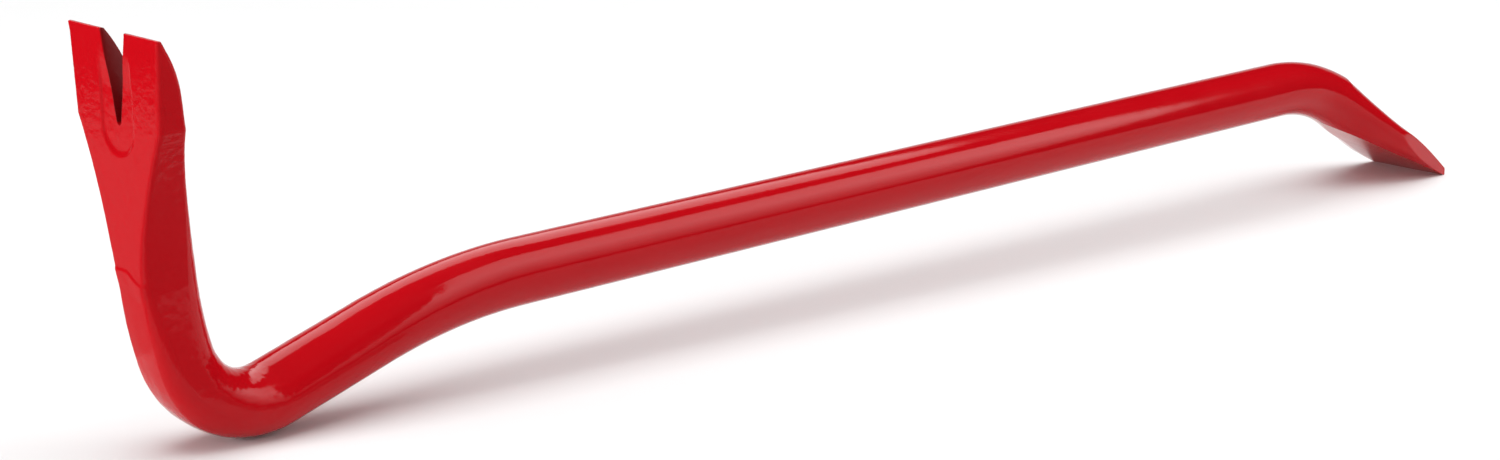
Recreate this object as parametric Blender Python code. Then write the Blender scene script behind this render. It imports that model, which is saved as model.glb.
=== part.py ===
"""Gooseneck pry bar of round steel, about 600 mm long, standing on its heel and its chisel edge.

The bar bends in one plane. +X runs from the claw to the chisel, +Y is the width, +Z is up.
Its shape is a row of cross-sections along a centre line of straight runs and arcs.
Each forged zone between two cross-sections is an object of its own.
"""

import math

import bmesh
import bpy
from mathutils import Vector

# Bar stock
BAR_WIDTH = 0.0200
BAR_THICKNESS = 0.0200

# Centre line from the claw tips to the chisel edge: lengths in metres, turns in degrees
CLAW_RUN = 0.0536
NECK_RADIUS = 0.140
NECK_TURN = 14.65
HEEL_RADIUS = 0.0243
HEEL_TURN = 90.5
LEG_RUN = 0.0343
OFFSET_RADIUS = 0.195
OFFSET_TURN = -16.3
SHAFT_RUN = 0.3720
TIP_RADIUS = 0.086
TIP_TURN = -25.1
BLADE_RUN = 0.0700

# Claw, measured from the tips
CLAW_TIP_WIDTH = 0.0406
CLAW_TIP_THICKNESS = 0.0012
SHOULDER_FROM_TIP = 0.0240
SHOULDER_WIDTH = 0.0376
TAPER_LENGTH = 0.0450
TAPER_POWER = 1.42
NECK_WIDTH = 0.0078
WEDGE_LENGTH = 0.0212
WEDGE_POWER = 2.3
WEDGE_THICKNESS = 0.0078
SWELL_FROM_TIP = 0.0152
SWELL_LENGTH = 0.0543
CLAW_LENGTH = 0.0640
FRONT_ROUND_FROM_TIP = 0.0412
BACK_ROUND_FROM_TIP = 0.0226
BACK_ROUND_LENGTH = 0.0683
CORNER_RADIUS = 0.0012
HEEL_WIDTH = 0.0235
HEEL_THICKNESS = 0.0187

# Nail slot between the tines
SLOT_MOUTH = 0.0107
SLOT_ROOT = 0.0016
SLOT_DEPTH = 0.0247

# Chisel blade, measured from its end
BLADE_WIDTH = 0.0410
BLADE_WIDEST_FROM_EDGE = 0.0140
BLADE_EDGE_THICKNESS = 0.0030
BLADE_SET_BACK = 0.0071
UNDERSIDE_RISE = 0.0250
UNDERSIDE_CUT = 0.86
UNDERSIDE_FLATTENING = 0.60
TOP_FLATTENING = 0.65

# Flat faces that trim the blade's two corners: half width between them at the edge, its growth
# with the distance from the edge, and its loss with the height above the underside
TRIM_HALF_WIDTH = 0.0164
TRIM_SPREAD = 0.075
TRIM_LEAN = 0.25

# Gap between zones that touch, and how finely the shape is cut up
ZONE_GAP = 0.0003
RING_SPACING = 0.004
BEND_SPACING = 0.0030
CORNER_POINTS = 5

PAINT_RED = (0.58, 0.004, 0.008, 1.0)
PAINT_ROUGHNESS = 0.22
PAINT_METALLIC = 0.0


def arc_length(radius, turn):
    """Length of an arc of the given radius and turn in degrees."""
    return radius * math.radians(abs(turn))


# Each run of the centre line: its length and the angle that it turns through
RUNS = (
    (CLAW_RUN, 0.0),
    (arc_length(NECK_RADIUS, NECK_TURN), NECK_TURN),
    (arc_length(HEEL_RADIUS, HEEL_TURN), HEEL_TURN),
    (LEG_RUN, 0.0),
    (arc_length(OFFSET_RADIUS, OFFSET_TURN), OFFSET_TURN),
    (SHAFT_RUN, 0.0),
    (arc_length(TIP_RADIUS, TIP_TURN), TIP_TURN),
    (BLADE_RUN, 0.0),
)


def run_end(count):
    """Distance from the claw tips to the end of the first runs."""
    return sum(length for length, turn in RUNS[:count])


NECK_END = run_end(2)
HEEL_END = run_end(3)
OFFSET_END = run_end(5)
SHAFT_END = run_end(6)
TIP_BEND_END = run_end(7)
BAR_END = run_end(8)

# Heading of the first run with which the shaft lies level
LEVEL_HEADING = -math.radians(sum(turn for length, turn in RUNS[:5]))

# Zones along the bar: name, where it begins and where it ends
ZONES = (
    ("nail_claw", 0.0, CLAW_LENGTH),
    ("heel_bend", CLAW_LENGTH, HEEL_END),
    ("offset_bend", HEEL_END, OFFSET_END),
    ("shaft", OFFSET_END, SHAFT_END),
    ("tip_bend", SHAFT_END, TIP_BEND_END),
    ("chisel_blade", TIP_BEND_END, BAR_END),
)


def centre_line(distance, stance):
    """Point (x, z) and heading of the centre line.

    A stance is the heading of the first run and the place (x, z) of the claw tips.
    """
    heading, x, z = stance
    left = distance
    for length, turn in RUNS:
        step = min(left, length)
        if turn:
            bend = math.radians(turn) / length
            x += (math.sin(heading + bend * step) - math.sin(heading)) / bend
            z -= (math.cos(heading + bend * step) - math.cos(heading)) / bend
            heading += bend * step
        else:
            x += math.cos(heading) * step
            z += math.sin(heading) * step
        left -= step
        if left <= 0.0:
            break
    return x, z, heading


def heading_at(distance):
    return centre_line(distance, (0.0, 0.0, 0.0))[2]


def eased(distance, begin, end):
    """0 before begin, 1 after end, and a smooth rise between them."""
    t = min(1.0, max(0.0, (distance - begin) / (end - begin)))
    return t * t * (3.0 - 2.0 * t)


def mix(a, b, share):
    return a + (b - a) * share


def width_at(distance):
    """Width of the bar across the bending plane."""
    if distance < SHOULDER_FROM_TIP:
        return mix(CLAW_TIP_WIDTH, SHOULDER_WIDTH, distance / SHOULDER_FROM_TIP)
    taper = max(0.0, 1.0 - (distance - SHOULDER_FROM_TIP) / TAPER_LENGTH) ** TAPER_POWER
    width = mix(NECK_WIDTH, HEEL_WIDTH, eased(distance, SHOULDER_FROM_TIP, HEEL_END))
    width += (SHOULDER_WIDTH - NECK_WIDTH) * taper
    width = mix(width, BAR_WIDTH, eased(distance, HEEL_END, OFFSET_END))
    widest = BAR_END - BLADE_WIDEST_FROM_EDGE
    return mix(width, BLADE_WIDTH, eased(distance, (SHAFT_END + TIP_BEND_END) / 2, widest))


def faces_at(distance):
    """Offsets of the outer and the inner face from the centre line.

    The outer face is the claw's front, the underside of the heel and the underside of the blade.
    """
    wedge = 1.0 - (1.0 - min(1.0, distance / WEDGE_LENGTH)) ** WEDGE_POWER
    swell = eased(distance, SWELL_FROM_TIP, SWELL_FROM_TIP + SWELL_LENGTH)
    growth = (BAR_THICKNESS - HEEL_THICKNESS) * eased(distance, HEEL_END, OFFSET_END)
    outer = -(HEEL_THICKNESS + growth) / 2
    thickness = mix(CLAW_TIP_THICKNESS, WEDGE_THICKNESS, wedge)
    thickness += (HEEL_THICKNESS - WEDGE_THICKNESS) * swell + growth
    inner = outer + thickness
    blade = max(0.0, (distance - TIP_BEND_END) / BLADE_RUN)
    outer = mix(outer, -BLADE_SET_BACK - BLADE_EDGE_THICKNESS / 2, blade)
    inner = mix(inner, -BLADE_SET_BACK + BLADE_EDGE_THICKNESS / 2, blade)
    return outer, inner


def roundness_at(distance):
    """Share of an oval in the outer and the inner half: 0 is a box with small corner radii."""
    outer = eased(distance, FRONT_ROUND_FROM_TIP, HEEL_END)
    inner = eased(distance, BACK_ROUND_FROM_TIP, BACK_ROUND_FROM_TIP + BACK_ROUND_LENGTH)
    blade = eased(distance, TIP_BEND_END + UNDERSIDE_RISE, BAR_END)
    return outer * (1.0 - UNDERSIDE_FLATTENING * blade), inner * (1.0 - TOP_FLATTENING * blade)


def cut_at(distance):
    """How much of the oval's outer half is left: the blade's underside is cut off flat."""
    return mix(1.0, UNDERSIDE_CUT, eased(distance, TIP_BEND_END, TIP_BEND_END + UNDERSIDE_RISE))


def half_section(distance, reach, share, cut):
    """Points of one quarter, from the middle of the side to just before the middle of the face."""
    half = width_at(distance) / 2
    corner = min(CORNER_RADIUS, 0.8 * reach)
    turn = min(math.radians(90.0) / (CORNER_POINTS + 1), math.asin(cut) / CORNER_POINTS)
    points = [(half, 0.0)]
    for step in range(CORNER_POINTS):
        swing = math.radians(90.0) * step / (CORNER_POINTS - 1)
        box = (half - corner + corner * math.cos(swing), reach - corner + corner * math.sin(swing))
        angle = turn * (step + 1)
        oval = (half * math.cos(angle), min(reach, reach / cut * math.sin(angle)))
        points.append((mix(box[0], oval[0], share), mix(box[1], oval[1], share)))
    return points


def trimmed(y, offset, limit):
    """The point moved sideways to within the limit."""
    return max(-limit, min(limit, y)), offset


def cross_section(distance):
    """Points (y, offset) once around the bar, the middle of each side and face among them."""
    outer, inner = faces_at(distance)
    middle = (outer + inner) / 2
    reach = (inner - outer) / 2
    outer_share, inner_share = roundness_at(distance)
    top = half_section(distance, reach, inner_share, 1.0)
    low = half_section(distance, reach, outer_share, cut_at(distance))
    points = [(y, middle + rise) for y, rise in top]
    points.append((0.0, inner))
    points += [(-y, middle + rise) for y, rise in reversed(top)]
    points += [(-y, middle - rise) for y, rise in low[1:]]
    points.append((0.0, outer))
    points += [(y, middle - rise) for y, rise in reversed(low[1:])]
    limit = TRIM_HALF_WIDTH + TRIM_SPREAD * (BAR_END - distance)
    return [trimmed(y, offset, limit - TRIM_LEAN * (offset - outer)) for y, offset in points]


def ring(distance, stance):
    """The cross-section at a distance along the bar, as points in space."""
    x, z, heading = centre_line(distance, stance)
    return [
        Vector((x - offset * math.sin(heading), y, z + offset * math.cos(heading)))
        for y, offset in cross_section(distance)
    ]


def stations(begin, end):
    """Distances of the rings of a zone: closer together in the bends and on the blade."""
    marks = [run_end(count) for count in range(1, len(RUNS))]
    marks += [SHOULDER_FROM_TIP, WEDGE_LENGTH, BAR_END - BLADE_WIDEST_FROM_EDGE]
    shortest = 0.4 * BEND_SPACING
    knots = [begin]
    for mark in sorted(marks):
        if knots[-1] + shortest < mark < end - shortest:
            knots.append(mark)
    knots.append(end)
    found = [begin]
    for low, high in zip(knots, knots[1:]):
        turned = abs(heading_at(high) - heading_at(low))
        straight = turned < 1e-6 and OFFSET_END <= low and high <= SHAFT_END
        fine = turned > 0.2 or low >= TIP_BEND_END
        spacing = high - low if straight else BEND_SPACING if fine else RING_SPACING
        count = max(1, round((high - low) / spacing))
        found += [low + (high - low) * (step + 1) / count for step in range(count)]
    return found


def resting_stance():
    """The stance in which the heel and the chisel edge both touch the floor at z = 0."""
    heading = LEVEL_HEADING
    distances = stations(0.0, BAR_END)
    for attempt in range(8):
        points = [p for distance in distances for p in ring(distance, (heading, 0.0, 0.0))]
        middle = (min(p.x for p in points) + max(p.x for p in points)) / 2
        heel = min((p for p in points if p.x < middle), key=lambda p: p.z)
        edge = min((p for p in points if p.x > middle), key=lambda p: p.z)
        heading += math.atan2(heel.z - edge.z, edge.x - heel.x)
    return heading, -middle, -min(heel.z, edge.z)


def paint(name):
    material = bpy.data.materials.new(name + "_paint")
    material.use_nodes = True
    shader = material.node_tree.nodes["Principled BSDF"]
    shader.inputs["Base Color"].default_value = PAINT_RED
    shader.inputs["Roughness"].default_value = PAINT_ROUGHNESS
    shader.inputs["Metallic"].default_value = PAINT_METALLIC
    return material


def make_zone(name, begin, end, stance):
    """One zone of the bar: rings joined side by side, with a flat cap on each end."""
    first = begin + ZONE_GAP / 2 if begin > 0.0 else begin
    last = end - ZONE_GAP / 2 if end < BAR_END else end
    shape = bmesh.new()
    rows = [
        [shape.verts.new(point) for point in ring(distance, stance)]
        for distance in stations(first, last)
    ]
    for row, following in zip(rows, rows[1:]):
        for index in range(len(row)):
            after = (index + 1) % len(row)
            shape.faces.new((row[index], row[after], following[after], following[index]))
    shape.faces.new(rows[0])
    shape.faces.new(rows[-1])
    bmesh.ops.recalc_face_normals(shape, faces=shape.faces)
    mesh = bpy.data.meshes.new(name)
    shape.to_mesh(mesh)
    shape.free()
    mesh.shade_smooth()
    mesh.set_sharp_from_angle(angle=math.radians(40.0))
    mesh.materials.append(paint(name))
    zone = bpy.data.objects.new(name, mesh)
    bpy.context.scene.collection.objects.link(zone)
    return zone


def cut_nail_slot(claw, stance):
    """Cuts the tapered slot between the tines with a wedge that passes through the claw."""
    x, z, heading = centre_line(0.0, stance)
    along = Vector((math.cos(heading), 0.0, math.sin(heading)))
    across = Vector((-math.sin(heading), 0.0, math.cos(heading)))
    tip = Vector((x, 0.0, z))
    overrun = 0.004
    slope = (SLOT_MOUTH - SLOT_ROOT) / 2 / SLOT_DEPTH
    mouth = SLOT_MOUTH / 2 + slope * overrun
    outline = [(-overrun, mouth), (SLOT_DEPTH - SLOT_ROOT / 2, SLOT_ROOT / 2)]
    for step in range(1, 4):
        angle = math.radians(90.0 - 45.0 * step)
        outline.append((
            SLOT_DEPTH - SLOT_ROOT / 2 + SLOT_ROOT / 2 * math.cos(angle),
            SLOT_ROOT / 2 * math.sin(angle),
        ))
    outline.append((-overrun, -mouth))
    shape = bmesh.new()
    corners = [
        shape.verts.new(tip + along * far - across * BAR_THICKNESS + Vector((0.0, y, 0.0)))
        for far, y in outline
    ]
    base = shape.faces.new(corners)
    wall = bmesh.ops.extrude_face_region(shape, geom=[base])
    moved = [item for item in wall["geom"] if isinstance(item, bmesh.types.BMVert)]
    bmesh.ops.translate(shape, verts=moved, vec=across * 2 * BAR_THICKNESS)
    bmesh.ops.recalc_face_normals(shape, faces=shape.faces)
    mesh = bpy.data.meshes.new("nail_slot_cutter")
    shape.to_mesh(mesh)
    shape.free()
    cutter = bpy.data.objects.new("nail_slot_cutter", mesh)
    cutter.hide_render = True
    cutter.display_type = "WIRE"
    bpy.context.scene.collection.objects.link(cutter)
    slot = claw.modifiers.new("nail_slot", "BOOLEAN")
    slot.operation = "DIFFERENCE"
    slot.solver = "EXACT"
    slot.object = cutter


def main():
    for existing in list(bpy.data.objects):
        bpy.data.objects.remove(existing)
    stance = resting_stance()
    zones = {name: make_zone(name, begin, end, stance) for name, begin, end in ZONES}
    cut_nail_slot(zones["nail_claw"], stance)


main()
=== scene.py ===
# A red gooseneck pry bar forged from one round steel bar, with a slotted claw and a chisel blade.
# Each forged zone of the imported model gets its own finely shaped, painted piece.

import math

import bmesh
import bpy
import numpy as np
from mathutils import Matrix, Vector, noise


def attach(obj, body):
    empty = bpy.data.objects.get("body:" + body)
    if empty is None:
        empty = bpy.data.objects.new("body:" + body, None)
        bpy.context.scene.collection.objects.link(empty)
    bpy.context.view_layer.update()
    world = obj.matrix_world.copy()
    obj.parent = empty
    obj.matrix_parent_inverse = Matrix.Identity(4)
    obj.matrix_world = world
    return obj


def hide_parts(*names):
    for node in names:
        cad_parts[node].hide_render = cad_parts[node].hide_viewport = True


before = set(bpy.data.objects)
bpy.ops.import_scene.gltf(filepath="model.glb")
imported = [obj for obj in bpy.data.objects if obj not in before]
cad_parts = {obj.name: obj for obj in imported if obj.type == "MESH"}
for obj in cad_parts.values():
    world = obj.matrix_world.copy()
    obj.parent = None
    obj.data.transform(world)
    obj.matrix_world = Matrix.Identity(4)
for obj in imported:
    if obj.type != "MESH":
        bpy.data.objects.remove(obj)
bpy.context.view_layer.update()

# The whole bar: the bend line from the claw tips to the chisel edge, metres and degrees
bar = {
    "thickness": 0.0200,
    "clawRun": 0.0536,
    "neckRadius": 0.140,
    "neckTurn": 14.65,
    "heelRadius": 0.0243,
    "heelTurn": 90.5,
    "legRun": 0.0343,
    "offsetRadius": 0.195,
    "offsetTurn": -16.3,
    "shaftRun": 0.3720,
    "tipRadius": 0.086,
    "tipTurn": -25.1,
    "bladeRun": 0.0700,
    "pointsRound": 240,       # points around each ring
    "pointsAlong": 400,       # sections tried when the bar is stood on the floor
    "ripple": 0.00007,        # height of the hammered unevenness
    "sharpAngle": 38.0,       # faces that meet at more degrees than this keep a crisp edge
}


def arcLength(radius, turn):
    return radius * math.radians(abs(turn))


runs = (
    (bar["clawRun"], 0.0),
    (arcLength(bar["neckRadius"], bar["neckTurn"]), bar["neckTurn"]),
    (arcLength(bar["heelRadius"], bar["heelTurn"]), bar["heelTurn"]),
    (bar["legRun"], 0.0),
    (arcLength(bar["offsetRadius"], bar["offsetTurn"]), bar["offsetTurn"]),
    (bar["shaftRun"], 0.0),
    (arcLength(bar["tipRadius"], bar["tipTurn"]), bar["tipTurn"]),
    (bar["bladeRun"], 0.0),
)
runEnds = [sum(length for length, turn in runs[:count + 1]) for count in range(len(runs))]
neckEnd, heelEnd, offsetEnd, shaftEnd, tipBendEnd, barEnd = [runEnds[i] for i in (1, 2, 4, 5, 6, 7)]
levelHeading = -math.radians(sum(turn for length, turn in runs[:5]))

claw = {
    "length": 0.0640,
    "tipWidth": 0.0406,
    "tipThickness": 0.0012,
    "shoulderFromTip": 0.0240,
    "shoulderWidth": 0.0376,
    "taperLength": 0.0450,
    "taperPower": 1.42,
    "neckWidth": 0.0078,
    "wedgeLength": 0.0212,
    "wedgePower": 2.3,
    "wedgeThickness": 0.0078,
    "swellFromTip": 0.0152,
    "swellLength": 0.0543,
    "frontRoundFromTip": 0.0412,
    "backRoundFromTip": 0.0226,
    "backRoundLength": 0.0683,
    "edgeRadius": 0.0012,
    "slotMouth": 0.0107,
    "slotRoot": 0.0016,
    "slotDepth": 0.0247,
    "lipRadius": 0.0007,      # worn edge of the slot
    "lipFlare": 0.55,         # how far the edge opens sideways, as a share of its radius
    "recessHalfWidth": 0.0074,
    "recessDepth": 0.0006,
    "recessBottom": 0.0327,
    "recessWall": 0.0009,
    "recessFadeFrom": 0.004,
    "recessFadeTo": 0.016,
    "tipRounding": 0.0004,
    "ringSpacing": 0.0004,
    "lumpSize": 0.0026,
    "rippleShare": 0.5,
    "rippleFadeFrom": 0.004,
    "rippleFadeTo": 0.020,
}
heel = {
    "width": 0.0235,
    "thickness": 0.0187,
    "dieLineFromTip": 0.0622,  # step that the forging dies left across the neck
    "dieLineHeight": 0.00035,
    "dieLineLength": 0.0010,
    "dieLineShift": 0.0028,    # how much nearer to the heel the step lies on one side
    "ringSpacing": 0.0004,
    "lumpSize": 0.0026,
    "rippleShares": (0.5, 0.7),
}
blade = {
    "width": 0.0410,
    "widestFromEdge": 0.0140,
    "edgeThickness": 0.0030,
    "setBack": 0.0071,
    "underRise": 0.0250,
    "underCut": 0.86,          # share of the oval's height that the flat underside leaves
    "underFlattening": 0.60,
    "topFlattening": 0.65,
    "trimHalfWidth": 0.0164,   # flat faces that trim the two corners
    "trimSpread": 0.075,
    "trimLean": 0.25,
    "trimSoftness": 0.0005,
    "edgeRadius": 0.0008,
    "endRounding": 0.0004,
    "ringSpacing": 0.0003,
    "lumpSize": 0.006,
    "rippleShare": 0.25,
}


def eased(value, begin, end):
    t = min(1.0, max(0.0, (value - begin) / (end - begin)))
    return t * t * (3.0 - 2.0 * t)


def mixed(a, b, share):
    return a + (b - a) * share


def bendLine(distance, stance):
    # point (x, z) and heading at a distance from the claw tips
    heading, x, z = stance
    left = distance
    for length, turn in runs:
        step = min(left, length)
        if turn:
            bend = math.radians(turn) / length
            x += (math.sin(heading + bend * step) - math.sin(heading)) / bend
            z -= (math.cos(heading + bend * step) - math.cos(heading)) / bend
            heading += bend * step
        else:
            x += math.cos(heading) * step
            z += math.sin(heading) * step
        left -= step
        if left <= 0.0:
            break
    return x, z, heading


def widthAt(distance):
    shoulder = claw["shoulderFromTip"]
    if distance < shoulder:
        return mixed(claw["tipWidth"], claw["shoulderWidth"], distance / shoulder)
    taper = max(0.0, 1.0 - (distance - shoulder) / claw["taperLength"]) ** claw["taperPower"]
    width = mixed(claw["neckWidth"], heel["width"], eased(distance, shoulder, heelEnd))
    width += (claw["shoulderWidth"] - claw["neckWidth"]) * taper
    width = mixed(width, bar["thickness"], eased(distance, heelEnd, offsetEnd))
    widest = barEnd - blade["widestFromEdge"]
    return mixed(width, blade["width"], eased(distance, (shaftEnd + tipBendEnd) / 2, widest))


def facesAt(distance):
    # offsets of the outer face (claw front, heel underside, blade underside) and the inner face
    wedge = 1.0 - (1.0 - min(1.0, distance / claw["wedgeLength"])) ** claw["wedgePower"]
    swell = eased(distance, claw["swellFromTip"], claw["swellFromTip"] + claw["swellLength"])
    growth = (bar["thickness"] - heel["thickness"]) * eased(distance, heelEnd, offsetEnd)
    outer = -(heel["thickness"] + growth) / 2
    thickness = mixed(claw["tipThickness"], claw["wedgeThickness"], wedge)
    thickness += (heel["thickness"] - claw["wedgeThickness"]) * swell + growth
    inner = outer + thickness
    along = max(0.0, (distance - tipBendEnd) / bar["bladeRun"])
    outer = mixed(outer, -blade["setBack"] - blade["edgeThickness"] / 2, along)
    inner = mixed(inner, -blade["setBack"] + blade["edgeThickness"] / 2, along)
    return outer, inner


def roundnessAt(distance):
    # 0 is a box with small corners and 1 an oval, for the outer and the inner half
    outer = eased(distance, claw["frontRoundFromTip"], heelEnd)
    backRound = claw["backRoundFromTip"]
    inner = eased(distance, backRound, backRound + claw["backRoundLength"])
    flat = eased(distance, tipBendEnd + blade["underRise"], barEnd)
    outer *= 1.0 - blade["underFlattening"] * flat
    return outer, inner * (1.0 - blade["topFlattening"] * flat)


def cutAt(distance):
    # share of the oval's outer half that is left above the flat underside
    return mixed(1.0, blade["underCut"], eased(distance, tipBendEnd, tipBendEnd + blade["underRise"]))


def endInset(distance):
    # how far a section draws in where the end of the bar is rounded over
    for gap, radius in (
        (distance, claw["tipRounding"]), (barEnd - distance, blade["endRounding"]),
    ):
        if gap < radius:
            return radius - math.sqrt(max(0.0, radius ** 2 - (radius - gap) ** 2))
    return 0.0


def quarterCurve(half, reach, corner, share, cut):
    # from the middle of a side to the middle of a face, evenly spaced; a sixth of w runs along the
    # box's side, a sixth along its face and the rest round its corner
    w = np.linspace(0.0, 1.0, 601)
    last = min(math.radians(75.0), math.asin(cut))
    angle = np.interp(w, [0.0, 5 / 6, 1.0], [0.0, last, math.pi / 2])
    oval = np.stack([half * np.cos(angle), np.minimum(reach, reach / cut * np.sin(angle))], 1)
    turn = np.clip((6 * w - 1) / 4, 0.0, 1.0) * np.pi / 2
    box = np.stack([
        half - corner + corner * np.cos(turn), reach - corner + corner * np.sin(turn),
    ], 1)
    flatSide = w < 1 / 6
    box[flatSide, 1] = (reach - corner) * w[flatSide] * 6
    flatFace = w > 5 / 6
    box[flatFace, 0] = (half - corner) * (1 - w[flatFace]) * 6
    curve = mixed(box, oval, share)
    steps = np.hypot(*np.diff(curve, axis=0).T)
    path = np.concatenate([[0.0], np.cumsum(steps)])
    count = bar["pointsRound"] // 4
    even = np.linspace(0.0, path[-1], count + 1)
    return np.stack([np.interp(even, path, curve[:, 0]), np.interp(even, path, curve[:, 1])], 1)


def trimmed(ringPoints, distance, outer):
    # draws the points sideways to within the flat faces at the blade's corners
    limit = blade["trimHalfWidth"] + blade["trimSpread"] * (barEnd - distance)
    limit = limit - blade["trimLean"] * (ringPoints[:, 1] - outer)
    soft = blade["trimSoftness"]
    side = np.abs(ringPoints[:, 0])
    share = np.clip(0.5 + 0.5 * (limit - side) / soft, 0.0, 1.0)
    side = mixed(limit, side, share) - soft * share * (1.0 - share)
    ringPoints[:, 0] = np.copysign(np.maximum(side, 0.0), ringPoints[:, 0])
    return ringPoints


def sectionAt(distance):
    # points (y, offset) once around the bar, from the +Y side over the inner face
    inset = endInset(distance)
    half = widthAt(distance) / 2 - inset
    outer, inner = facesAt(distance)
    middle = (outer + inner) / 2
    reach = (inner - outer) / 2 - inset
    radius = mixed(claw["edgeRadius"], blade["edgeRadius"], eased(distance, shaftEnd, barEnd))
    corner = min(radius, 0.8 * reach)
    outerShare, innerShare = roundnessAt(distance)
    top = quarterCurve(half, reach, corner, innerShare, 1.0)
    low = quarterCurve(half, reach, corner, outerShare, cutAt(distance))
    flip = np.array([-1.0, 1.0])
    ringPoints = np.concatenate([
        top[:-1], (top * flip)[:0:-1], (low * -1)[:-1], (low * -1 * flip)[:0:-1],
    ])
    ringPoints[:, 1] += middle
    if distance < tipBendEnd:
        return ringPoints
    return trimmed(ringPoints, distance, outer + inset)


def restingStance():
    # the first heading and the place of the tips with which the heel and the edge stand on the floor
    heading = levelHeading
    distances = np.linspace(0.0, barEnd, bar["pointsAlong"])
    sections = [sectionAt(distance) for distance in distances]
    for attempt in range(6):
        xs, zs = [], []
        for distance, section in zip(distances, sections):
            x, z, turned = bendLine(distance, (heading, 0.0, 0.0))
            xs.append(x - section[:, 1] * math.sin(turned))
            zs.append(z + section[:, 1] * math.cos(turned))
        xs, zs = np.array(xs), np.array(zs)
        middle = (xs.min() + xs.max()) / 2
        low = [np.where(side, zs, 1.0).argmin() for side in (xs < middle, xs > middle)]
        rise = zs.flat[low[0]] - zs.flat[low[1]]
        heading += math.atan2(rise, xs.flat[low[1]] - xs.flat[low[0]])
    return heading, -middle, -zs.min()


stance = restingStance()
print("stance", [round(value, 5) for value in stance])


def hammered(point, size):
    # smooth unevenness between about -1 and 1, with lumps of about the given size
    return noise.noise(Vector(point) / size) + 0.5 * noise.noise(Vector(point) / size * 2.1)


def sweptGrid(begin, end, spacing):
    # rings of points from begin to end, with a close pair of rings at each end
    count = max(2, round((end - begin) / spacing))
    distances = set(np.linspace(begin, end, count + 1).round(6))
    for near in (0.0001, 0.0003):
        distances |= {round(begin + near, 6), round(end - near, 6)}
    distances = sorted(distances)
    points = []
    for distance in distances:
        x, z, heading = bendLine(distance, stance)
        section = sectionAt(distance)
        points.append(np.stack([
            x - section[:, 1] * math.sin(heading),
            section[:, 0],
            z + section[:, 1] * math.cos(heading),
        ], 1))
    return np.array(distances), np.array(points)


def outwardNormals(points):
    around = np.roll(points, -1, axis=1) - np.roll(points, 1, axis=1)
    along = np.gradient(points, axis=0)
    normals = np.cross(around, along)
    normals /= np.maximum(np.linalg.norm(normals, axis=2, keepdims=True), 1e-12)
    centre = points.mean(axis=1, keepdims=True)
    if ((points - centre) * normals).sum() < 0:
        normals = -normals
    return normals


def closedPiece(name, points):
    # quads between the rings, and a strip of quads over each end
    rings, around = points.shape[:2]
    shape = bmesh.new()
    rows = [[shape.verts.new(point) for point in ring] for ring in points]
    for row, after in zip(rows, rows[1:]):
        for i in range(around):
            j = (i + 1) % around
            shape.faces.new((row[i], row[j], after[j], after[i]))
    for row in (rows[0], rows[-1]):
        for i in range(around // 2):
            low, lowNext = (around - i) % around, around - i - 1
            corners = [row[i], row[i + 1], row[lowNext], row[low]]
            unique = list(dict.fromkeys(corners))
            if len(unique) > 2:
                shape.faces.new(unique)
    bmesh.ops.recalc_face_normals(shape, faces=shape.faces)
    mesh = bpy.data.meshes.new(name)
    shape.to_mesh(mesh)
    shape.free()
    piece = bpy.data.objects.new(name, mesh)
    bpy.context.scene.collection.objects.link(piece)
    return piece


def smoothShade(piece):
    piece.data.shade_smooth()
    piece.data.set_sharp_from_angle(angle=math.radians(bar["sharpAngle"]))


def forgedUnevenness(points, normals, amount, size):
    # pushes each point in or out a little; amount may differ from ring to ring
    for ring, directions, share in zip(points, normals, amount):
        if share > 0.0:
            for i, point in enumerate(ring):
                point += directions[i] * share * bar["ripple"] * hammered(point, size)


def recessDepthAt(distance, y):
    # a shallow U-shaped step pressed around the slot
    half = claw["recessHalfWidth"]
    centre = claw["recessBottom"] - half
    gap = abs(y) - half if distance < centre else math.hypot(y, distance - centre) - half
    return claw["recessDepth"] * (1.0 - eased(gap, -claw["recessWall"], 0.0))


def pressDieLine(points, normals, distances):
    # a thin step across the front of the neck that fades out towards the heel
    length = heel["dieLineLength"]
    for ring, directions, distance in zip(points, normals, distances):
        for point, direction in zip(ring, directions):
            shift = heel["dieLineShift"] * eased(-point[1], -0.001, 0.005)
            past = distance - heel["dieLineFromTip"] - shift
            height = eased(past, 0.0, length) * (1.0 - eased(past, 0.0, length * 7))
            point += direction * max(0.0, -direction[0]) ** 2 * heel["dieLineHeight"] * height


def makeClaw():
    distances, points = sweptGrid(0.0, claw["length"], claw["ringSpacing"])
    normals = outwardNormals(points)
    pressDieLine(points, normals, distances)
    around = bar["pointsRound"]
    for ring, directions, distance in zip(points, normals, distances):
        if distance < claw["recessBottom"] + 0.001:
            fade = eased(distance, claw["recessFadeFrom"], claw["recessFadeTo"])
            for i in range(around // 2 + 1, around):
                if -directions[i][0] > 0.9:     # only where the ring faces forward
                    ring[i] -= directions[i] * fade * recessDepthAt(distance, ring[i][1])
    fades = [eased(distance, claw["rippleFadeFrom"], claw["rippleFadeTo"]) for distance in distances]
    amount = [claw["rippleShare"] * fade for fade in fades]
    forgedUnevenness(points, normals, amount, claw["lumpSize"])
    piece = closedPiece("nailClawForging", points)
    cutSlot(piece)
    smoothShade(piece)
    return piece


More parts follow.
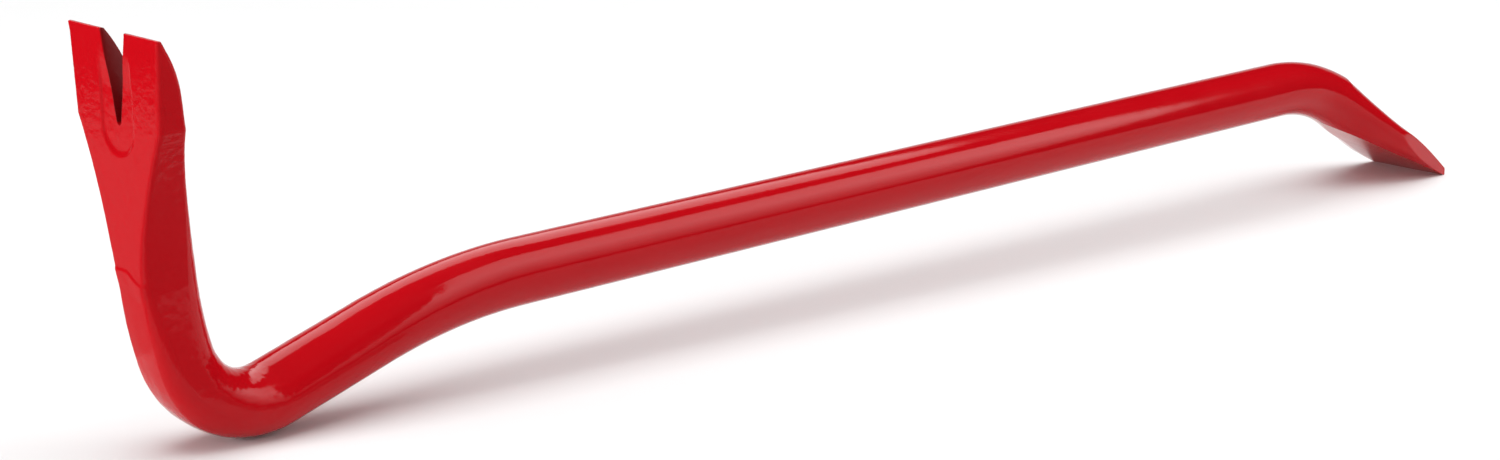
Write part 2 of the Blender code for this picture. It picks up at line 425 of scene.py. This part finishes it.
def cutSlot(piece):
    # a wedge whose walls flare out at both faces, so that the slot's edges are worn round
    depth, root = claw["slotDepth"], claw["slotRoot"] / 2
    overrun = 0.004         # how far the cutter reaches past the tips and the front face
    backOverrun = 0.006
    wallSteps, rootSteps = 70, 16
    flare = claw["lipFlare"]
    slope = (claw["slotMouth"] / 2 - root) / depth
    path = []
    for step in np.linspace(-overrun, depth - root, wallSteps):
        path.append((step, root + slope * (depth - root - step), -slope, 1.0))
    for step in range(1, rootSteps):
        angle = math.pi / 2 - math.pi * step / rootSteps
        path.append((
            depth - root + root * math.cos(angle), root * math.sin(angle),
            math.cos(angle), math.sin(angle),
        ))
    path += [(along, -y, nx, -ny) for along, y, nx, ny in path[wallSteps - 1::-1]]
    x0, z0, heading = bendLine(0.0, stance)
    shape = bmesh.new()
    lipShares = (0.0, 0.15, 0.35, 0.6, 1.0)
    rows = []
    for along, y, nx, ny in path:
        length = math.hypot(nx, ny)
        nx, ny = nx / length, ny / length
        outer, inner = facesAt(max(0.0, along))
        lip = min(claw["lipRadius"], 0.4 * (inner - outer))     # the tips are too thin for a full one
        levels = [(outer - overrun, lip * flare)]
        for share in lipShares:
            levels.append((outer + lip * share, lip * flare * (1 - share) ** 2))
        for share in lipShares[::-1]:
            levels.append((inner - lip * share, lip * flare * (1 - share) ** 2))
        levels.append((inner + backOverrun, lip * flare))
        row = []
        for offset, spread in levels:
            s = along + nx * spread
            row.append(shape.verts.new((
                x0 + s * math.cos(heading) - offset * math.sin(heading),
                y + ny * spread,
                z0 + s * math.sin(heading) + offset * math.cos(heading),
            )))
        rows.append(row)
    for row, after in zip(rows, rows[1:]):
        for i in range(len(row) - 1):
            shape.faces.new((row[i], row[i + 1], after[i + 1], after[i]))
    first, last = rows[0], rows[-1]
    for i in range(len(first) - 1):
        shape.faces.new((last[i], last[i + 1], first[i + 1], first[i]))
    shape.faces.new([row[0] for row in rows])
    shape.faces.new([row[-1] for row in rows])
    bmesh.ops.triangulate(shape, faces=[face for face in shape.faces if len(face.verts) > 4])
    bmesh.ops.recalc_face_normals(shape, faces=shape.faces)
    mesh = bpy.data.meshes.new("slotCutter")
    shape.to_mesh(mesh)
    shape.free()
    cutter = bpy.data.objects.new("slotCutter", mesh)
    bpy.context.scene.collection.objects.link(cutter)
    cut = piece.modifiers.new("slot", "BOOLEAN")
    cut.operation = "DIFFERENCE"
    cut.solver = "EXACT"
    cut.object = cutter
    bpy.context.view_layer.update()
    finished = bpy.data.meshes.new_from_object(
        piece.evaluated_get(bpy.context.evaluated_depsgraph_get()))
    piece.modifiers.clear()
    piece.data = finished
    bpy.data.objects.remove(cutter)


def makeHeel():
    distances, points = sweptGrid(claw["length"], heelEnd, heel["ringSpacing"])
    normals = outwardNormals(points)
    pressDieLine(points, normals, distances)
    fades = [eased(distance, claw["length"], heelEnd) for distance in distances]
    amount = [mixed(*heel["rippleShares"], fade) for fade in fades]
    forgedUnevenness(points, normals, amount, heel["lumpSize"])
    piece = closedPiece("heelBendForging", points)
    smoothShade(piece)
    return piece


offsetBend = {"ringSpacing": 0.0008, "lumpSize": 0.005, "rippleShares": (0.5, 0.15)}
shaft = {"ringSpacing": 0.0020, "lumpSize": 0.012, "rippleShares": (0.15, 0.15)}
tipBend = {"ringSpacing": 0.0006, "lumpSize": 0.006, "rippleShares": (0.15, 0.35)}


def makeRound(name, begin, end, zone):
    # a zone whose round section only thickens or bends
    distances, points = sweptGrid(begin, end, zone["ringSpacing"])
    normals = outwardNormals(points)
    fades = [eased(distance, begin, end) for distance in distances]
    amount = [mixed(*zone["rippleShares"], fade) for fade in fades]
    forgedUnevenness(points, normals, amount, zone["lumpSize"])
    piece = closedPiece(name, points)
    smoothShade(piece)
    return piece


def makeBlade():
    distances, points = sweptGrid(tipBendEnd, barEnd, blade["ringSpacing"])
    normals = outwardNormals(points)
    amount = [blade["rippleShare"]] * len(distances)
    forgedUnevenness(points, normals, amount, blade["lumpSize"])
    piece = closedPiece("chiselBladeForging", points)
    smoothShade(piece)
    return piece


pieces = {
    "nail_claw": makeClaw(),
    "heel_bend": makeHeel(),
    "offset_bend": makeRound("offsetBendForging", heelEnd, offsetEnd, offsetBend),
    "shaft": makeRound("shaftRoundBar", offsetEnd, shaftEnd, shaft),
    "tip_bend": makeRound("tipBendForging", shaftEnd, tipBendEnd, tipBend),
    "chisel_blade": makeBlade(),
}
print("pieces", {name: len(piece.data.vertices) for name, piece in pieces.items()})


class Wire:
    # a socket that can stand in a sum or a product
    def __init__(self, maker, socket):
        self.maker, self.socket = maker, socket

    def withOperation(self, operation, first, second):
        return self.maker.add("ShaderNodeMath", {"operation": operation}, {0: first, 1: second})

    def __add__(self, other):
        return self.withOperation("ADD", self, other)

    def __radd__(self, other):
        return self.withOperation("ADD", other, self)

    def __sub__(self, other):
        return self.withOperation("SUBTRACT", self, other)

    def __rsub__(self, other):
        return self.withOperation("SUBTRACT", other, self)

    def __mul__(self, other):
        return self.withOperation("MULTIPLY", self, other)

    def __rmul__(self, other):
        return self.withOperation("MULTIPLY", other, self)


class NodeMaker:
    def __init__(self, material):
        material.use_nodes = True
        self.tree = material.node_tree
        self.shader = self.tree.nodes["Principled BSDF"]

    def join(self, socket, value):
        if isinstance(value, Wire):
            self.tree.links.new(value.socket, socket)
        else:
            socket.default_value = value

    def add(self, kind, settings=None, values=None, output=0):
        node = self.tree.nodes.new(kind)
        for name, value in (settings or {}).items():
            if name == "stops":
                while len(node.color_ramp.elements) < len(value):
                    node.color_ramp.elements.new(1.0)
                for element, (place, colour) in zip(node.color_ramp.elements, value):
                    element.position, element.color = place, colour
            else:
                setattr(node, name, value)
        for name, value in (values or {}).items():
            self.join(node.inputs[name], value)
        return Wire(self, node.outputs[output])

    def set(self, name, value):
        self.join(self.shader.inputs[name], value)


paint = {
    "red": (0.460, 0.0030, 0.0070, 1.0),
    "deepRed": (0.425, 0.0024, 0.0060, 1.0),
    "slotShadeRed": (0.15, 0.0015, 0.0025, 1.0),   # painted shade inside the nail slot: a darker red where its walls lie in shade
    "roughness": 0.09,
    "roughnessSpread": 0.12,
    "slotRoughness": 0.30,    # added inside the nail slot
    "ior": 1.24,
    "skinHeight": 0.00001,    # the paint's own fine skin
    "skinScale": 900.0,
    "cloudScale": 45.0,       # patches of slightly deeper red
    "strokeHeight": 0.00001,  # grinding marks under the paint of the blade
    "strokeScale": 1600.0,
    "strokeStretch": (1.0, 0.06, 1.0),
    "slotMargin": 0.00035,    # how far the slot's painted shade runs out over its edges
    "slotFade": 0.0003,
    "slotRootFade": 0.0006,
}


def smoothStep(maker, value, width):
    # 0 below zero and 1 above the width
    return maker.add("ShaderNodeMapRange", {"interpolation_type": "SMOOTHSTEP"}, {
        "Value": value, "From Min": 0.0, "From Max": width, "To Min": 0.0, "To Max": 1.0,
    })


def slotMask(maker, place):
    # 1 between the walls of the nail slot, where the painted shade goes, 0 on the faces around it
    z = bendLine(claw["slotDepth"], stance)[1]
    side = maker.add("ShaderNodeSeparateXYZ", {}, {0: place}, output="Y")
    height = maker.add("ShaderNodeSeparateXYZ", {}, {0: place}, output="Z")
    slope = (claw["slotMouth"] - claw["slotRoot"]) / 2 / claw["slotDepth"]
    half = (height - z) * slope + (claw["slotRoot"] / 2 + paint["slotMargin"])
    away = maker.add("ShaderNodeMath", {"operation": "ABSOLUTE"}, {0: side})
    between = smoothStep(maker, half - away, paint["slotFade"])
    return between * smoothStep(maker, height - z, paint["slotRootFade"])


def makePaint(name, ripple, rippleSize, ground=False, slotted=False):
    # ripple is the height of the hammered skin under the paint
    material = bpy.data.materials.new(name)
    maker = NodeMaker(material)
    place = maker.add("ShaderNodeTexCoord", output="Object")
    lumps = maker.add("ShaderNodeTexNoise", {}, {
        "Vector": place, "Scale": 1.0 / rippleSize, "Detail": 3.0, "Roughness": 0.55,
    })
    skin = maker.add("ShaderNodeTexNoise", {}, {
        "Vector": place, "Scale": paint["skinScale"], "Detail": 2.0, "Roughness": 0.5,
    })
    clouds = maker.add("ShaderNodeTexNoise", {}, {
        "Vector": place, "Scale": paint["cloudScale"], "Detail": 4.0, "Roughness": 0.6,
    })
    height = lumps * ripple + skin * paint["skinHeight"]
    if ground:
        stretched = maker.add("ShaderNodeMapping", {}, {
            "Vector": place, "Scale": paint["strokeStretch"],
        })
        lines = maker.add("ShaderNodeTexNoise", {}, {
            "Vector": stretched, "Scale": paint["strokeScale"], "Detail": 2.0, "Roughness": 0.6,
        })
        height = height + lines * paint["strokeHeight"]
    bump = maker.add("ShaderNodeBump", {}, {
        "Height": height, "Strength": 1.0, "Distance": 1.0,
    })
    shade = maker.add("ShaderNodeMix", {"data_type": "RGBA"}, {
        "Factor": clouds, "A": paint["deepRed"], "B": paint["red"],
    }, output="Result")
    spread = paint["roughnessSpread"]
    roughness = clouds * spread + (paint["roughness"] - spread / 2)
    if slotted:
        # painted shade: the nail slot's walls get a darker, rougher red
        inside = slotMask(maker, place)
        shade = maker.add("ShaderNodeMix", {"data_type": "RGBA"}, {
            "Factor": inside, "A": shade, "B": paint["slotShadeRed"],
        }, output="Result")
        roughness = roughness + inside * paint["slotRoughness"]
    maker.set("Base Color", shade)
    maker.set("Roughness", roughness)
    maker.set("Normal", bump)
    maker.set("IOR", paint["ior"])
    return material


finishes = {
    "nail_claw": makePaint("clawPaint", 0.00009, 0.0018, slotted=True),
    "heel_bend": makePaint("heelPaint", 0.00006, 0.0026),
    "offset_bend": makePaint("offsetPaint", 0.00003, 0.0050),
    "shaft": makePaint("shaftPaint", 0.00001, 0.0080),
    "tip_bend": makePaint("tipPaint", 0.00003, 0.0060),
    "chisel_blade": makePaint("bladePaint", 0.00003, 0.0060, ground=True),
}
for node, piece in pieces.items():
    piece.data.materials.clear()
    piece.data.materials.append(finishes[node])
    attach(piece, "root")
    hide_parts(node)
print("paint on", len(finishes), "pieces")


studio = {
    "floorRadius": 12.0,
    "floorDrop": 0.0002,      # how far the floor lies below the bar
    "floorShade": (0.80, 0.80, 0.80, 1.0),
    "worldStrength": 0.30,
    "patchHeight": 0.0004,
    "patchTurn": 42.58,       # degrees that the oblong floor patches are turned by
}


def makeFloor():
    shape = bmesh.new()
    bmesh.ops.create_circle(shape, cap_ends=True, segments=96, radius=studio["floorRadius"])
    mesh = bpy.data.meshes.new("studioFloor")
    shape.to_mesh(mesh)
    shape.free()
    floor = bpy.data.objects.new("studioFloor", mesh)
    floor.location.z = -studio["floorDrop"]
    bpy.context.scene.collection.objects.link(floor)
    material = bpy.data.materials.new("studioFloorPaper")
    maker = NodeMaker(material)
    maker.set("Base Color", studio["floorShade"])
    maker.set("Roughness", 0.9)
    maker.set("Specular IOR Level", 0.1)
    mesh.materials.append(material)


def aimed(thing, place, target):
    thing.location = place
    direction = Vector(target) - Vector(place)
    thing.rotation_euler = direction.to_track_quat("-Z", "Y").to_euler()


def softbox(name, place, target, width, depth, radiance):
    # lights the scene without being mirrored; radiance is how bright the panel itself would look
    light = bpy.data.lights.new(name, "AREA")
    light.shape = "RECTANGLE"
    light.size, light.size_y = width, depth
    light.energy = radiance * width * depth * math.pi
    panel = bpy.data.objects.new(name, light)
    bpy.context.scene.collection.objects.link(panel)
    aimed(panel, place, target)
    panel.visible_camera = False
    panel.visible_glossy = False


def glowCard(name, corners, stops, strength):
    # a flat card that only reflections see; the stops run from its first edge to its last
    mesh = bpy.data.meshes.new(name)
    mesh.from_pydata(corners, [], [(0, 1, 2, 3)])
    layer = mesh.uv_layers.new(name="cardMap")
    for loop, place in zip(layer.data, ((0, 0), (1, 0), (1, 1), (0, 1))):
        loop.uv = place
    card = bpy.data.objects.new(name, mesh)
    bpy.context.scene.collection.objects.link(card)
    material = bpy.data.materials.new(name + "Glow")
    maker = NodeMaker(material)
    across = maker.add("ShaderNodeTexCoord", output="UV")
    height = maker.add("ShaderNodeSeparateXYZ", {}, {0: across}, output="Y")
    ramp = maker.add("ShaderNodeValToRGB", {"stops": stops}, {0: height})
    maker.set("Base Color", (0.0, 0.0, 0.0, 1.0))
    maker.set("Specular IOR Level", 0.0)
    maker.set("Emission Color", ramp)
    maker.set("Emission Strength", strength)
    mesh.materials.append(material)
    card.visible_camera = False
    card.visible_diffuse = False
    card.visible_shadow = False


def floorPatch(name, corners, shade):
    # a darker piece of floor that only the paint's reflections see
    mesh = bpy.data.meshes.new(name)
    mesh.from_pydata([(x, y, studio["patchHeight"]) for x, y in corners], [], [(0, 1, 2, 3)])
    patch = bpy.data.objects.new(name, mesh)
    bpy.context.scene.collection.objects.link(patch)
    material = bpy.data.materials.new(name + "Paper")
    maker = NodeMaker(material)
    maker.set("Base Color", (shade, shade, shade, 1.0))
    maker.set("Roughness", 1.0)
    maker.set("Specular IOR Level", 0.0)
    mesh.materials.append(material)
    patch.visible_camera = False
    patch.visible_diffuse = False
    patch.visible_shadow = False


def oblong(corner, length, depth):
    # four corners on the floor, from the nearest one round
    turn = math.radians(studio["patchTurn"])
    along = Vector((math.cos(turn), math.sin(turn))) * length
    back = Vector((-math.sin(turn), math.cos(turn))) * depth
    start = Vector(corner)
    return [start, start + along, start + along + back, start + back]


def greys(*pairs):
    return [(place, (shade, shade, shade, 1.0)) for place, shade in pairs]


makeFloor()
world = bpy.data.worlds.new("studioWorld")
bpy.context.scene.world = world
world.use_nodes = True
world.node_tree.nodes["Background"].inputs["Color"].default_value = (1.0, 1.0, 1.0, 1.0)
world.node_tree.nodes["Background"].inputs["Strength"].default_value = studio["worldStrength"]
world.cycles_visibility.glossy = False
glowCard("frontCard", [
    (0.30, -1.31, 0.16), (1.38, -1.31, 0.16), (1.40, -0.35, 1.18), (0.30, -0.35, 1.18),
], greys((0.0, 0.08), (0.29, 0.42), (0.60, 1.0), (0.90, 0.78), (1.0, 0.65)), 4.6)
glowCard("overheadCard", [
    (-0.3, 1.0, 1.2), (1.17, 0.04, 1.2), (1.77, 2.2, 1.2), (-0.3, 2.2, 1.2),
], greys((0.0, 1.0), (1.0, 0.9)), 2.9)
glowCard("backCard", [
    (1.0, 7.0, 0.0), (7.0, 1.0, 0.0), (7.0, 1.0, 1.8), (1.0, 7.0, 1.8),
], greys((0.0, 1.0), (1.0, 0.5)), 0.8)
floorPatch("farDarkPatch", oblong((-0.915, -0.074), 1.005, 2.482), 0.0)
floorPatch("leftGreyPatch", oblong((-0.697, -0.310), 1.005, 0.314), 0.45)
floorPatch("frontGreyPatch", [
    (-0.60, -0.06), (-0.17, -0.06), (0.10, -0.45), (-0.60, -0.45),
], 0.25)
softbox("ceiling", (0.0, 0.0, 2.5), (0.0, 0.0, 0.0), 3.0, 3.0, 2.6)
softbox("frontFill", (1.15, -0.83, 0.67), (0.1, 0.0, 0.08), 2.0, 1.2, 1.3)
softbox("leftFill", (-1.8, 0.4, 0.35), (-0.3, 0.0, 0.08), 1.6, 0.6, 7.9)
bpy.context.scene.view_settings.view_transform = "Standard"

view = {
    "place": (-0.72028, -0.64070, 0.24436),
    "heading": 45.3339,
    "pitch": -13.2958,
    "roll": 1.7253,
    "lens": 72.0,
}
camera = bpy.data.objects.new("studioCamera", bpy.data.cameras.new("studioCamera"))
camera.data.lens = view["lens"]
camera.data.sensor_width = 36.0
camera.data.clip_start = 0.01
bpy.context.scene.collection.objects.link(camera)
camera.matrix_world = (
    Matrix.Translation(view["place"])
    @ Matrix.Rotation(-math.radians(view["heading"]), 4, "Z")
    @ Matrix.Rotation(math.radians(90.0 + view["pitch"]), 4, "X")
    @ Matrix.Rotation(math.radians(view["roll"]), 4, "Z")
)
bpy.context.scene.camera = camera
print("studio and camera are set")
